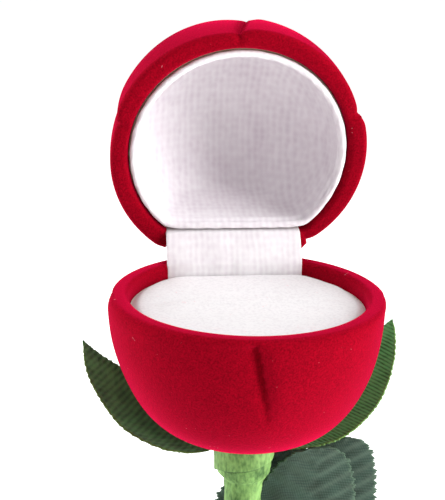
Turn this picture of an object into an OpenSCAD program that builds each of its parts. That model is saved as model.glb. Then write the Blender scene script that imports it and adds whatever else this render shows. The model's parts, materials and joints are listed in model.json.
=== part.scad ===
/* [Rosebud shells] */
// Outer radius of the cup at its rim
cup_r = 21; // [20.5:0.1:22]
// Depth of the cup below its rim
cup_depth = 23; // [22.5:0.1:25]
// Outer radius of the lid at its rim
lid_r = 20.6; // [20.4:0.1:21]
// Height of the lid's dome above its rim
lid_depth = 24.1; // [23.6:0.1:26]
// Wall thickness of both shells, with their flock
shell_wall = 2.8; // [2.4:0.1:2.9]
// Gap between the two rims when the box is closed
rim_gap = 0.4; // [0.3:0.05:0.6]

/* [Hinge] */
// Distance from the box's axis back to the hinge pin
hinge_y = 18.1; // [17.9:0.1:18.3]
// Angle that the lid stands open at its stop
open_angle = 77.5; // [60:0.5:85]
// Outer radius of the hinge knuckles
knuckle_r = 1; // [0.9:0.05:1.05]
// Radius of the hinge pin
pin_r = 0.45; // [0.3:0.05:0.5]
// Length of the hinge along its pin
hinge_len = 17; // [14:0.5:17.5]
// Depth of each hinge leaf in its wall
leaf_depth = 8.2; // [6:0.2:9]

/* [Padding and lining] */
// Flat back wall of the cup's cavity, from the box's axis
cup_chord_y = 14.2; // [14:0.1:14.3]
// Flat back wall of the lid's cavity, from the box's axis
lid_chord_y = 13.9; // [13.8:0.1:14]
// Top of the ring pad, below the cup's rim
pad_drop = 1.8; // [1.5:0.1:2.5]
// Height of the foam block
foam_h = 9.5; // [8:0.5:10]
// Length of the ring slit
slit_len = 23; // [20:0.5:24]
// Width of the hinge strap
strap_w = 22.4; // [20:0.2:22.6]
// Thickness of the hinge strap
strap_t = 0.3; // [0.2:0.05:0.35]

/* [Stem] */
// Length of the stem below its receptacle
stem_len = 140; // [130:5:200]
// Radius of the taped stem at its lower end
stem_r = 2.75; // [2.6:0.05:2.9]
// Length of the stem's single-taped lower end
stem_end_len = 60; // [40:5:70]
// Outer radius of the taped receptacle
collar_r = 4.75; // [4.7:0.05:5]
// Height of the receptacle
receptacle_h = 7; // [6.5:0.5:8]

/* [Leaves] */
// Length of each calyx leaf along its rib
calyx_leaf_len = 28.5; // [26:0.5:30]
// Width of each calyx leaf
calyx_leaf_w = 15; // [13:0.5:16]
// Angle of each calyx leaf behind the box's side
calyx_turn = 25; // [20:1:30]
// Length of each spray leaf along its rib
spray_leaf_len = 36.5; // [34:0.5:37]
// Width of each spray leaf
spray_leaf_w = 17; // [15:0.5:18]
// Thickness of the leaf fabric
leaf_t = 0.5; // [0.3:0.1:0.6]
// Radius of the leaf ribs
rib_r = 0.3; // [0.2:0.05:0.35]

/* [Hidden] */
$fn = 96;
cup_bottom = stem_len + receptacle_h;
rim = cup_bottom + cup_depth;
lid_rim = rim + rim_gap;
hinge_z = rim + rim_gap / 2;
plate_t = 0.5;
snug = 0.1;
bore_r = pin_r + 0.05;
knuckle_split = 3;
notch_r = knuckle_r + 0.25;
slot_y = hinge_y - knuckle_r - snug;
slot_t = plate_t + 2 * snug;
spring_w = 5;
spring_t = 0.25;
spring_y = slot_y - 0.85;
cup_inner_r = cup_r - shell_wall;
cup_inner_depth = cup_depth - shell_wall;
lid_inner_r = lid_r - shell_wall;
lid_inner_depth = lid_depth - shell_wall;
strap_y = cup_chord_y - 0.25;
strap_lid_y = lid_chord_y - 0.25;
strap_tail = 3;
pad_back_y = strap_y - strap_t / 2 - 0.2;
cover_t = 0.65;
foam_slit_w = 1.6;
slit_w = 0.5;
lip_depth = 5;
foam_top = rim - pad_drop - cover_t - 0.05;
card_t = 0.8;
liner_back_y = strap_lid_y - strap_t / 2 - 0.15;
liner_card_t = 0.4;
lining_t = 0.3;
welt_r = 0.5;
welt_z = lid_rim + 0.7;
liner_z = welt_z + welt_r + 0.05;
screw_r = 1.2;
screw_tip = cup_bottom - 2.8;
washer_r = 3.5;
washer_t = 0.4;
washer_z = cup_bottom + shell_wall + 0.05;
tube_r = stem_r - 0.6;
wire_r = 1;
tube_top = cup_bottom - 3.3;
upper_tape_r = stem_r + 0.25;
calyx_bend_r = 24.9;
calyx_root_r = collar_r + 0.15;
calyx_root_z = rim - 26.5;
spray_bend_r = 70;
stalk_r = 0.8;
stalk_x = 2;
stalk_y = 3.5;
stalk_foot = [stalk_x, stalk_y, rim - 92];
stalk_bend = [stalk_x, stalk_y, rim - 80];
stalk_fork = [8, 9.5, rim - 69];
// Root and sideways lean of the left, middle and right leaf of the spray
SPRAY = [[[4, 13, rim - 62.5], 5], [[9.7, 5.7, rim - 60], 3], [[13.5, 9, rim - 60], 4.5]];

// Solid bowl standing on its rim, with the half-outline (r/radius)^q + (z/height)^p = 1
module bowl(radius, height, p, q) {
    steps = 24;
    outline = [for (i = [0:steps]) let (k = sin(90 * i / steps))
        [radius * pow(max(0, 1 - pow(k, p)), 1 / q), height * k]];
    rotate_extrude() polygon(concat([[0, 0]], outline));
}

module cup_bowl(radius, depth) {
    translate([0, 0, rim]) mirror([0, 0, 1]) bowl(radius, depth, 2, 3.5);
}

module lid_bowl(radius, depth, z = lid_rim) {
    translate([0, 0, z]) bowl(radius, depth, 2.58, 2);
}

// Everything in front of a flat back wall
module in_front_of(y) {
    translate([-30, y - 60, -1]) cube([60, 60, 300]);
}

module behind(y) {
    translate([-30, y, -1]) cube([60, 60, 300]);
}

module slab(z_low, z_high) {
    translate([-30, -30, z_low]) cube([60, 60, z_high - z_low]);
}

// Cylinder along X on the hinge's axis, from x_low to x_high
module on_hinge_axis(r, x_low, x_high) {
    translate([x_low, hinge_y, hinge_z]) rotate([0, 90, 0]) cylinder(r = r, h = x_high - x_low);
}

// Box centred on X, given by its width and its lowest and highest Y and Z
module centred_box(width, y_low, y_high, z_low, z_high) {
    translate([-width / 2, y_low, z_low]) cube([width, y_high - y_low, z_high - z_low]);
}

// Turns a lid piece from its closed place to the open stop
module opened() {
    translate([0, hinge_y, hinge_z]) rotate([-open_angle, 0, 0]) translate([0, -hinge_y, -hinge_z])
        children();
}

// Angle of the line from one point to the next in a plane
function heading(from, to) = atan2(to[1] - from[1], to[0] - from[0]);

// One long edge of a strip along a path, on its left (side = 1) or right (side = -1)
function strip_edge(path, thickness, side) = [for (i = [0:len(path) - 1])
    let (last = len(path) - 1,
        into = heading(path[max(i - 1, 0)], path[max(i, 1)]),
        out = heading(path[min(i, last - 1)], path[min(i + 1, last)]),
        reach = side * thickness / 2 / cos((out - into) / 2),
        across = (into + out) / 2 + 90)
    path[i] + reach * [cos(across), sin(across)]];

// Leaf outline from its root at X = 0 to its tip, with a rounded root and a pointed tip
module leaf_outline(length, width) {
    steps = 20;
    side = [for (i = [0:steps]) let (s = i / steps)
        [length * s, width / 2 * pow(sin(180 * pow(s, 0.8)), 0.85) + 0.6 * (1 - s)]];
    back = [for (i = [steps:-1:0]) [side[i][0], -side[i][1]]];
    polygon(concat(side, back));
}

// Leaf that starts along +X from the origin and curls up towards +Z
module leaf_blade(length, width, bend_r) {
    sweep = length / bend_r * 180 / PI;
    chord = 2 * bend_r * sin(sweep / 2);
    intersection() {
        translate([0, 0, bend_r]) rotate([90, 0, 0]) difference() {
            cylinder(r = bend_r + leaf_t, h = width + 4, center = true);
            cylinder(r = bend_r, h = width + 6, center = true);
        }
        rotate([0, -sweep / 2, 0]) translate([0, 0, -bend_r / 2 - leaf_t])
            linear_extrude(height = bend_r / 2 + 2 * leaf_t) leaf_outline(chord, width);
    }
}

// Wire rib under the same leaf
module leaf_rib(length, bend_r) {
    sweep = length / bend_r * 180 / PI;
    translate([0, 0, bend_r]) rotate([90, 0, 0]) rotate([0, 0, -90])
        rotate_extrude(angle = sweep) translate([bend_r + leaf_t + rib_r + 0.03, 0]) circle(r = rib_r);
}

// Places a calyx leaf piece at an angle around the cup
module on_calyx(turn) {
    rotate([0, 0, turn]) translate([calyx_root_r, 0, calyx_root_z]) children();
}

// Places a spray leaf piece upright at its root, leaning to the side, with its face forward
module on_spray(i) {
    translate(SPRAY[i][0]) rotate([0, SPRAY[i][1], 0]) rotate([0, 0, 90]) rotate([0, -90, 0])
        children();
}

// Straight round rod between two points
module rod(from, to, r) {
    run = to - from;
    translate(from) rotate([0, acos(run[2] / norm(run)), atan2(run[1], run[0])])
        cylinder(r = r, h = norm(run), $fn = 32);
}

// D-shaped slice of the cup's cavity
module pad_slice(z_low, z_high, y_back) {
    intersection() {
        cup_bowl(cup_inner_r - 0.1, cup_inner_depth - 0.1);
        slab(z_low, z_high);
        in_front_of(y_back);
    }
}

module cup_shell() {
    color("crimson") difference() {
        cup_bowl(cup_r, cup_depth);
        intersection() {
            cup_bowl(cup_inner_r, cup_inner_depth);
            in_front_of(cup_chord_y);
        }
        translate([0, 0, rim - 0.01]) cylinder(r = cup_r + 1, h = 1);
        behind(hinge_y);
        centred_box(hinge_len + 2 * snug, slot_y, slot_y + slot_t, rim - leaf_depth - snug, rim + 1);
        centred_box(spring_w + 2 * snug, spring_y - snug, slot_y + snug, rim - leaf_depth - snug, rim + 1);
        on_hinge_axis(notch_r, -hinge_len / 2 - 0.7, hinge_len / 2 + 0.7);
        translate([0, 0, cup_bottom - 1]) cylinder(r = screw_r + 0.05, h = shell_wall + 2);
    }
}

module pad_card() {
    color("tan") pad_slice(foam_top - foam_h - card_t - 0.05, foam_top - foam_h - 0.05, pad_back_y);
}

module pad_foam() {
    color("whitesmoke") difference() {
        pad_slice(foam_top - foam_h, foam_top, pad_back_y);
        centred_box(slit_len + 1.2, -foam_slit_w / 2, foam_slit_w / 2, foam_top - lip_depth - 2, rim);
    }
}

module pad_cover() {
    lip_y = foam_slit_w / 2 - 0.05;
    color("white") difference() {
        union() {
            pad_slice(rim - pad_drop - cover_t, rim - pad_drop, pad_back_y);
            centred_box(slit_len + 1, -lip_y, lip_y, foam_top - lip_depth, rim - pad_drop - 0.1);
        }
        centred_box(slit_len, -slit_w / 2, slit_w / 2, foam_top - lip_depth - 1, rim);
    }
}

module hinge_strap() {
    foot = [strap_y, rim - strap_tail];
    knee = [strap_y, rim + 0.1];
    lid_edge = [hinge_y - 0.9, rim + 4.6];
    tail = lid_edge + strap_tail * [sin(open_angle), cos(open_angle)];
    path = [foot, knee, lid_edge, tail];
    right = strip_edge(path, strap_t, -1);
    outline = concat(strip_edge(path, strap_t, 1), [for (i = [len(path) - 1:-1:0]) right[i]]);
    color("snow") translate([-strap_w / 2, 0, 0]) rotate([90, 0, 90])
        linear_extrude(height = strap_w) polygon(outline);
}

module hinge_leaf_base() {
    plate_y = hinge_y - knuckle_r;
    middle_w = 2 * knuckle_split + 2 * snug;
    color("silver") difference() {
        union() {
            centred_box(hinge_len, plate_y, plate_y + plate_t, rim - leaf_depth, hinge_z);
            on_hinge_axis(knuckle_r, -hinge_len / 2, hinge_len / 2);
        }
        centred_box(middle_w, hinge_y - 2, hinge_y + 2, hinge_z - knuckle_r - 0.3, rim + 3);
        on_hinge_axis(bore_r, -hinge_len, hinge_len);
    }
}

module hinge_leaf_lid() {
    plate_y = hinge_y - knuckle_r;
    plate_low = hinge_z + knuckle_r + 0.3;
    color("silver") opened() difference() {
        union() {
            centred_box(hinge_len, plate_y, plate_y + plate_t, plate_low, lid_rim + leaf_depth);
            centred_box(2 * knuckle_split, plate_y, plate_y + plate_t, hinge_z, plate_low + 1);
            on_hinge_axis(knuckle_r, -knuckle_split, knuckle_split);
        }
        on_hinge_axis(bore_r, -hinge_len, hinge_len);
    }
}

module hinge_pin() {
    head_x = hinge_len / 2 + 0.05;
    color("gainsboro") {
        on_hinge_axis(pin_r, -head_x - 0.1, head_x + 0.1);
        on_hinge_axis(pin_r + 0.3, head_x, head_x + 0.3);
        on_hinge_axis(pin_r + 0.3, -head_x - 0.3, -head_x);
    }
}

module snap_spring() {
    lip_z = rim + 0.05;
    color("gray") {
        centred_box(spring_w, spring_y, spring_y + spring_t, rim - leaf_depth + 0.2, lip_z + 0.2);
        centred_box(spring_w, spring_y, slot_y, lip_z, lip_z + 0.2);
    }
}

module cup_washer() {
    color("silver") translate([0, 0, washer_z]) difference() {
        cylinder(r = washer_r, h = washer_t);
        translate([0, 0, -1]) cylinder(r = screw_r + 0.1, h = 2);
    }
}

module cup_screw() {
    head_z = washer_z + washer_t;
    color("silver") difference() {
        union() {
            translate([0, 0, screw_tip]) cylinder(r = screw_r, h = head_z - screw_tip + 0.1);
            translate([0, 0, head_z]) cylinder(r = 2.2, h = 1.5);
        }
        translate([0, 0, head_z + 1.5]) cube([0.5, 3, 1.4], center = true);
        translate([0, 0, head_z + 1.5]) cube([3, 0.5, 1.4], center = true);
    }
}

module receptacle() {
    color("darkgreen") difference() {
        translate([0, 0, stem_len]) cylinder(r = collar_r - 0.55, h = receptacle_h);
        translate([0, 0, stem_len - 1]) cylinder(r = tube_r + 0.05, h = tube_top - stem_len + 1.05);
        translate([0, 0, stem_len]) cylinder(r = screw_r + 0.05, h = receptacle_h + 1);
    }
}

module collar_tape() {
    inner_r = collar_r - 0.5;
    color("yellowgreen") translate([0, 0, stem_len]) rotate_extrude() polygon([
        [inner_r, receptacle_h - 0.05],
        [collar_r, receptacle_h - 0.05],
        [collar_r, 0.2],
        [upper_tape_r + 0.5, -1.9],
        [upper_tape_r + 0.05, -1.9],
        [upper_tape_r + 0.05, -1.2],
        [inner_r, -0.1]
    ]);
}

module stem_wire() {
    color("dimgray") translate([0, 0, 0.5]) cylinder(r = wire_r, h = tube_top - 0.6);
}

module stem_tube() {
    color("seagreen") difference() {
        cylinder(r = tube_r, h = tube_top);
        translate([0, 0, -1]) cylinder(r = wire_r + 0.05, h = tube_top + 2);
    }
}

module stem_tape() {
    color("yellowgreen") difference() {
        union() {
            cylinder(r = stem_r, h = stem_end_len + 1);
            translate([0, 0, stem_end_len]) cylinder(r = upper_tape_r, h = stem_len - stem_end_len - 0.05);
        }
        translate([0, 0, -1]) cylinder(r = tube_r + 0.05, h = stem_len + 2);
    }
}

module calyx_leaf_left() {
    color("darkolivegreen") on_calyx(180 - calyx_turn)
        leaf_blade(calyx_leaf_len, calyx_leaf_w, calyx_bend_r);
}

module calyx_leaf_right() {
    color("olivedrab") on_calyx(calyx_turn)
        leaf_blade(calyx_leaf_len, calyx_leaf_w, calyx_bend_r);
}

module calyx_rib_left() {
    color("forestgreen") on_calyx(180 - calyx_turn) leaf_rib(calyx_leaf_len * 0.85, calyx_bend_r);
}

module calyx_rib_right() {
    color("forestgreen") on_calyx(calyx_turn) leaf_rib(calyx_leaf_len * 0.85, calyx_bend_r);
}

module spray_stalk() {
    color("forestgreen") {
        rod(stalk_foot, stalk_bend, stalk_r);
        translate(stalk_bend) sphere(r = stalk_r * 1.1, $fn = 32);
        rod(stalk_bend, stalk_fork, stalk_r);
        translate(stalk_fork) sphere(r = stalk_r * 1.3, $fn = 32);
        for (leaf = SPRAY) rod(stalk_fork, leaf[0] - [0, 0, 1.2], stalk_r - 0.1);
    }
}

// Section of the tape that binds the stalk to the stem
module bound_section(tape) {
    hull() {
        circle(r = upper_tape_r + 0.05 + tape, $fn = 48);
        translate([stalk_x, stalk_y]) circle(r = stalk_r + 0.05 + tape, $fn = 32);
    }
}

module spray_tape() {
    color("yellowgreen") translate([0, 0, stalk_foot[2] - 1]) linear_extrude(height = 12) difference() {
        bound_section(0.4);
        bound_section(0);
    }
}

module spray_leaf_left() {
    color("darkslategray") on_spray(0) leaf_blade(spray_leaf_len, spray_leaf_w, spray_bend_r);
}

module spray_leaf_middle() {
    color("darkslategray") on_spray(1) leaf_blade(spray_leaf_len, spray_leaf_w, spray_bend_r);
}

module spray_leaf_right() {
    color("darkslategray") on_spray(2) leaf_blade(spray_leaf_len, spray_leaf_w, spray_bend_r);
}

module spray_rib_left() {
    color("forestgreen") on_spray(0) leaf_rib(spray_leaf_len * 0.85, spray_bend_r);
}

module spray_rib_middle() {
    color("forestgreen") on_spray(1) leaf_rib(spray_leaf_len * 0.85, spray_bend_r);
}

module spray_rib_right() {
    color("forestgreen") on_spray(2) leaf_rib(spray_leaf_len * 0.85, spray_bend_r);
}

module lid_shell() {
    color("crimson") opened() difference() {
        lid_bowl(lid_r, lid_depth);
        intersection() {
            lid_bowl(lid_inner_r, lid_inner_depth);
            in_front_of(lid_chord_y);
        }
        translate([0, 0, lid_rim - 1]) cylinder(r = lid_r + 1, h = 1.01);
        behind(hinge_y);
        centred_box(hinge_len + 2 * snug, slot_y, slot_y + slot_t, lid_rim - 1, lid_rim + leaf_depth + snug);
        on_hinge_axis(notch_r, -hinge_len / 2 - 0.7, hinge_len / 2 + 0.7);
    }
}

// D-shaped dish inside the lid: inset from the lid's cavity, with its own wall
module liner_dish(inset, wall) {
    difference() {
        intersection() {
            lid_bowl(lid_inner_r - inset, lid_inner_depth - inset);
            in_front_of(liner_back_y - inset + 0.1);
            slab(liner_z, lid_rim + lid_depth);
        }
        intersection() {
            lid_bowl(lid_inner_r - inset - wall, lid_inner_depth - inset - wall);
            in_front_of(liner_back_y - inset - wall + 0.1);
        }
    }
}

module lid_card() {
    color("tan") opened() liner_dish(0.15, liner_card_t);
}

module lid_lining() {
    color("white") opened() liner_dish(0.15 + liner_card_t + 0.05, lining_t);
}

module lining_welt() {
    loop_r = lid_inner_r - 0.15 - welt_r;
    chord_y = liner_back_y - welt_r;
    corner = acos(chord_y / loop_r);
    half_w = sqrt(loop_r * loop_r - chord_y * chord_y);
    color("snow") opened() translate([0, 0, welt_z]) {
        rotate([0, 0, 90 + corner]) rotate_extrude(angle = 360 - 2 * corner)
            translate([loop_r, 0]) circle(r = welt_r, $fn = 32);
        translate([-half_w, chord_y, 0]) rotate([0, 90, 0])
            cylinder(r = welt_r, h = 2 * half_w, $fn = 32);
        for (side = [-1, 1]) translate([side * half_w, chord_y, 0]) sphere(r = welt_r * 1.1, $fn = 32);
    }
}

cup_shell();
pad_card();
pad_foam();
pad_cover();
hinge_strap();
hinge_leaf_base();
hinge_pin();
snap_spring();
cup_screw();
cup_washer();
receptacle();
collar_tape();
stem_wire();
stem_tube();
stem_tape();
calyx_leaf_left();
calyx_leaf_right();
calyx_rib_left();
calyx_rib_right();
spray_stalk();
spray_tape();
spray_leaf_left();
spray_leaf_middle();
spray_leaf_right();
spray_rib_left();
spray_rib_middle();
spray_rib_right();
lid_shell();
lid_card();
lid_lining();
lining_welt();
hinge_leaf_lid();
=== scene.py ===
import json
import math
import bmesh
import bpy
from mathutils import Matrix, Vector, noise


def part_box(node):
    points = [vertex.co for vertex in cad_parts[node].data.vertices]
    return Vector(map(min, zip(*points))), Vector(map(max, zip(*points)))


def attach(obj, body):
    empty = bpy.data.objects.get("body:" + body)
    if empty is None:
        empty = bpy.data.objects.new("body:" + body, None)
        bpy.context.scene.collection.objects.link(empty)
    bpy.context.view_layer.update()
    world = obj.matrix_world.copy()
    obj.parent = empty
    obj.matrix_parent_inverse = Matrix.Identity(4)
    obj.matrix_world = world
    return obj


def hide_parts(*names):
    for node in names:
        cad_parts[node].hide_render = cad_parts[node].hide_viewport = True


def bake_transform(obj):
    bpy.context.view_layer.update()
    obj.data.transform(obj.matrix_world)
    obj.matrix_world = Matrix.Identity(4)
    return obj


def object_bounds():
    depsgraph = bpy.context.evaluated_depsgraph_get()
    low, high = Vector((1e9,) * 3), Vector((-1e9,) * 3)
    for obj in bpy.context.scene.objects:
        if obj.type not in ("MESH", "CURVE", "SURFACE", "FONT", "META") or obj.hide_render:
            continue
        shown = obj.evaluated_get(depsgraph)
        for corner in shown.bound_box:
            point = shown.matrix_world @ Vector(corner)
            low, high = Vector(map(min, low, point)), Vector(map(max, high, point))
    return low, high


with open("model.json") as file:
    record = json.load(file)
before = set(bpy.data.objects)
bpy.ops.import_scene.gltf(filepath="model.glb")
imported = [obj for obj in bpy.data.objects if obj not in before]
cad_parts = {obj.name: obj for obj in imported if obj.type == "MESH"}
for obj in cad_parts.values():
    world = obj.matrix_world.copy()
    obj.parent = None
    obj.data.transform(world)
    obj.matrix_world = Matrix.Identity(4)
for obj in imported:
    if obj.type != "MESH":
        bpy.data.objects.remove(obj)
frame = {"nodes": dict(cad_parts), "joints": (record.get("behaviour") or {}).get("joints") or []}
cad_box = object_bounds()

# ---------------------------------------------------------------------------------------------
# Camera, soft studio light and a pale floor: a light tent with bright sides and a dim front,
# and the eye just above the open box, looking down into it.
MM = 0.001
scene = bpy.context.scene
rim_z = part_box("cup_shell")[1].z
rim_centre = Vector((0, 0, rim_z))
eye_turn, eye_rise, eye_distance = math.radians(-7.97), math.radians(18.675), 168.93 * MM
look_turn, look_down, look_roll = math.radians(-6.519), math.radians(16.566), math.radians(1.124)
eye_way = Vector((math.sin(eye_turn) * math.cos(eye_rise),
                  -math.cos(eye_turn) * math.cos(eye_rise),
                  math.sin(eye_rise)))
forward = Vector((-math.sin(look_turn) * math.cos(look_down),
                  math.cos(look_turn) * math.cos(look_down),
                  -math.sin(look_down)))
level_right = Vector((math.cos(look_turn), math.sin(look_turn), 0))
level_up = level_right.cross(forward)
right = math.cos(look_roll) * level_right + math.sin(look_roll) * level_up
up = -math.sin(look_roll) * level_right + math.cos(look_roll) * level_up
camera = bpy.data.objects.new("camera", bpy.data.cameras.new("camera"))
camera.data.lens = 79.73
camera.data.sensor_width = 36
camera.data.clip_start = 0.01
camera.data.clip_end = 100
scene.collection.objects.link(camera)
camera.matrix_world = Matrix.Translation(rim_centre + eye_distance * eye_way) @ Matrix(
    (right, up, -forward)).transposed().to_4x4()
scene.camera = camera


def new_material(name):
    """A node material and its shader, ready for its own colour, roughness and bump."""
    material = bpy.data.materials.new(name)
    material.use_nodes = True
    tree = material.node_tree
    return material, tree, tree.nodes["Principled BSDF"]


def link(tree, source, output, target, socket):
    """Joins an output socket of one node to an input socket of another."""
    tree.links.new(source.outputs[output], target.inputs[socket])


def soft_light(name, place, aim, size, watts):
    """A rectangular softbox, turned to face what it lights."""
    lamp = bpy.data.lights.new(name, "AREA")
    lamp.shape = "RECTANGLE"
    lamp.size, lamp.size_y = size
    lamp.energy = watts
    lamp_object = bpy.data.objects.new(name, lamp)
    lamp_object.location = Vector(place)
    lamp_object.rotation_euler = (Vector(aim) - Vector(place)).to_track_quat("-Z", "Y").to_euler()
    scene.collection.objects.link(lamp_object)


soft_light("left_softbox", (-0.70, 0.14, rim_z + 0.22), rim_centre, (0.5, 0.7), 6.5)
soft_light("right_softbox", (0.64, -0.34, rim_z + 0.14), rim_centre, (0.5, 0.7), 9.5)
soft_light("top_softbox", (0.05, -0.05, rim_z + 0.8), rim_centre, (0.9, 0.9), 3)
world = bpy.data.worlds.new("tent")
scene.world = world
world.use_nodes = True
tent = world.node_tree
tent.nodes["Background"].inputs["Color"].default_value = (1, 1, 1, 1)
tent.nodes["Background"].inputs["Strength"].default_value = 0.17
tent_seen = tent.nodes.new("ShaderNodeBackground")
tent_seen.inputs["Strength"].default_value = 1
tent_rays = tent.nodes.new("ShaderNodeLightPath")
tent_mix = tent.nodes.new("ShaderNodeMixShader")
link(tent, tent_rays, "Is Camera Ray", tent_mix, 0)
link(tent, tent.nodes["Background"], 0, tent_mix, 1)
link(tent, tent_seen, 0, tent_mix, 2)
link(tent, tent_mix, 0, tent.nodes["World Output"], "Surface")
scene.view_settings.view_transform = "Standard"

floor_mesh = bmesh.new()
bmesh.ops.create_circle(floor_mesh, cap_ends=True, segments=96, radius=30)
floor_data = bpy.data.meshes.new("floor")
floor_mesh.to_mesh(floor_data)
floor_mesh.free()
floor = bpy.data.objects.new("floor", floor_data)
floor.location.z = cad_box[0][2] - 0.0005
scene.collection.objects.link(floor)
floor_paper, paper_tree, paper = new_material("floor_paper")
paper.inputs["Base Color"].default_value = (0.93, 0.93, 0.93, 1)
paper.inputs["Roughness"].default_value = 0.9
paper.inputs["Emission Color"].default_value = (1, 1, 1, 1)
paper_seen = paper_tree.nodes.new("ShaderNodeLightPath")
paper_glow = paper_tree.nodes.new("ShaderNodeMapRange")
paper_glow.inputs["To Min"].default_value = 0.22
paper_glow.inputs["To Max"].default_value = 0.85
link(paper_tree, paper_seen, "Is Camera Ray", paper_glow, "Value")
link(paper_tree, paper_glow, "Result", paper, "Emission Strength")
floor_data.materials.append(floor_paper)


# ---------------------------------------------------------------------------------------------
# Cup of the rosebud: a moulded plastic bowl 42 mm across, its outside raised as four petals that
# lap over each other, flocked all over with short red nylon fibre. A flat back carries the hinge.
hinge = frame["joints"][0]
hinge_point = Vector(hinge["pos_m"])
open_angle = math.radians(hinge["range_deg"][1])
cup_low, cup_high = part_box("cup_shell")
cup_r = cup_high.x
cup_depth = cup_high.z - cup_low.z
shell_wall = 2.8 * MM
cup_back = 14.2 * MM
cup_bowl = (2, 3.5)
rim_lip = 0.85 * MM
notch_half = 9.3 * MM
pin_clearance = 1.3 * MM


def finish_piece(name, mesh, material, body=None, stands_for=(), fineness=1,
                 thickness=0, outward=True):
    """Turns a bmesh into a smooth piece with its material, body and the CAD nodes it stands for."""
    if outward:
        bmesh.ops.recalc_face_normals(mesh, faces=mesh.faces)
    data = bpy.data.meshes.new(name)
    mesh.to_mesh(data)
    mesh.free()
    for face in data.polygons:
        face.use_smooth = True
    piece = bpy.data.objects.new(name, data)
    scene.collection.objects.link(piece)
    if material:
        data.materials.append(material)
    if thickness:
        cloth = piece.modifiers.new("thickness", "SOLIDIFY")
        cloth.thickness = thickness
        cloth.offset = -1
    if fineness:
        smooth = piece.modifiers.new("smooth", "SUBSURF")
        smooth.levels = smooth.render_levels = fineness
    if body:
        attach(piece, body)
    if stands_for:
        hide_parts(*stands_for)
    return piece


def eased(value, low, high):
    t = min(max((value - low) / (high - low), 0), 1)
    return t * t * (3 - 2 * t)


def bowl_r(radius, share, p, q):
    """Radius of a bowl at a share of its depth: (r/radius)^q + share^p = 1."""
    return radius * max(0, 1 - share ** p) ** (1 / q)


def soft_limit(value, limit, softness):
    """Flattens whatever lies past a wall, with a rounded corner where the flat starts."""
    start = limit - softness
    if value < start:
        return value
    return start + softness * math.tanh((value - start) / softness)


def spin_outline(points, steps, ring=False):
    """Turns an outline of (radius, height) points about the Z axis; a ring's outline is closed."""
    mesh = bmesh.new()
    verts = [mesh.verts.new((r, 0, z)) for r, z in points]
    edges = [mesh.edges.new(pair) for pair in zip(verts, verts[1:] + verts[:1] if ring else verts[1:])]
    bmesh.ops.spin(mesh, geom=verts + edges, cent=(0, 0, 0), axis=(0, 0, 1), dvec=(0, 0, 0),
                   angle=2 * math.pi, steps=steps, use_merge=True, use_duplicate=False)
    bmesh.ops.remove_doubles(mesh, verts=mesh.verts, dist=0.002 * MM)
    return mesh


def shell_outline(radius, depth, p, q, lip):
    """Half outline of a shell, from its outer pole round the soft rim to its inner pole."""
    inner_r, inner_depth = radius - shell_wall, depth - shell_wall
    outer_steps, lip_steps = 64, 7
    points = []
    for i in range(outer_steps + 1):
        share = math.sin(math.pi / 2 * (1 - i / outer_steps))
        share = max(share, lip / depth)
        points.append((bowl_r(radius, share, p, q), depth * share))
        if share == lip / depth:
            break
    outer_r = points[-1][0]
    for i in range(1, lip_steps + 1):
        a = math.pi / 2 * i / lip_steps
        points.append((outer_r - lip + lip * math.cos(a), lip - lip * math.sin(a)))
    for i in range(lip_steps + 1):
        a = math.pi / 2 * i / lip_steps
        points.append((inner_r + lip - lip * math.sin(a), lip - lip * math.cos(a)))
    for i in range(1, 25):
        share = math.sin(math.pi / 2 * i / 24)
        if share * inner_depth > lip * 1.3:
            points.append((bowl_r(inner_r, share, p, q), inner_depth * share))
    return points


def petal_relief(turn, lean, petals, step, crown, groove, width):
    """Height of the petals' relief: each petal is highest at the edge that laps over the last."""
    petal_turn = 2 * math.pi / petals
    u = ((turn - lean) / petal_turn) % 1
    off_edge = min(u, 1 - u) * petal_turn
    lap = step * (0.55 - 0.5 * u - 0.5 * u ** 4)
    return lap + crown * (math.sin(math.pi * u) - 0.64) - groove * math.exp(-(off_edge / width) ** 2)


def rose_shell(radius, depth, p, q, back, lip, relief):
    """Shell with its rim at height 0 and its bowl upwards, with petals, flat backs and a notch."""
    mesh = spin_outline(shell_outline(radius, depth, p, q, lip), 360)
    inner_r, inner_depth = radius - shell_wall, depth - shell_wall
    pin_height = hinge_point.z - rim_z
    for vert in mesh.verts:
        x, y, z = vert.co
        r = math.hypot(x, y)
        turn = math.atan2(y, x)
        share = min(z / depth, 1)
        inside_r = bowl_r(inner_r, min(z / inner_depth, 1), p, q) if z < inner_depth else 0
        outside_r = bowl_r(radius, share, p, q)
        outward = min(max((r - inside_r) / max(outside_r - inside_r, 0.1 * MM), 0), 1)
        if z > inner_depth:
            outward = 1
        if outward > 0.05:
            height = relief(turn, share, r) * outward
            away = Vector((x / radius ** 2, y / radius ** 2, z / depth ** 2)).normalized()
            vert.co += away * height
            if share < 0.06:
                vert.co.z -= height * 0.5 * (1 - share / 0.06)
        limit = back + (hinge_point.y - back) * eased(outward, 0.35, 0.65)
        vert.co.y = soft_limit(vert.co.y, limit, 0.7 * MM)
        reach = math.hypot(vert.co.y - hinge_point.y, vert.co.z + pin_height)
        notch_r = pin_clearance * (1 - eased(abs(x), notch_half - 0.4 * MM, notch_half))
        if 0 < reach < notch_r:
            vert.co.y = hinge_point.y + (vert.co.y - hinge_point.y) * notch_r / reach
            vert.co.z = (vert.co.z + pin_height) * notch_r / reach - pin_height
    return mesh


def cup_petals(turn, share, r):
    """Four broad petals that show below the rim and run out towards the stem."""
    fade = eased(share, 0, 0.08) * (1 - eased(share, 0.22, 0.66))
    lean = math.radians(-94 + 12 * share)
    return fade * petal_relief(turn, lean, petals=4, step=1.05 * MM, crown=0.2 * MM,
                               groove=0.6 * MM, width=0.055)


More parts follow.
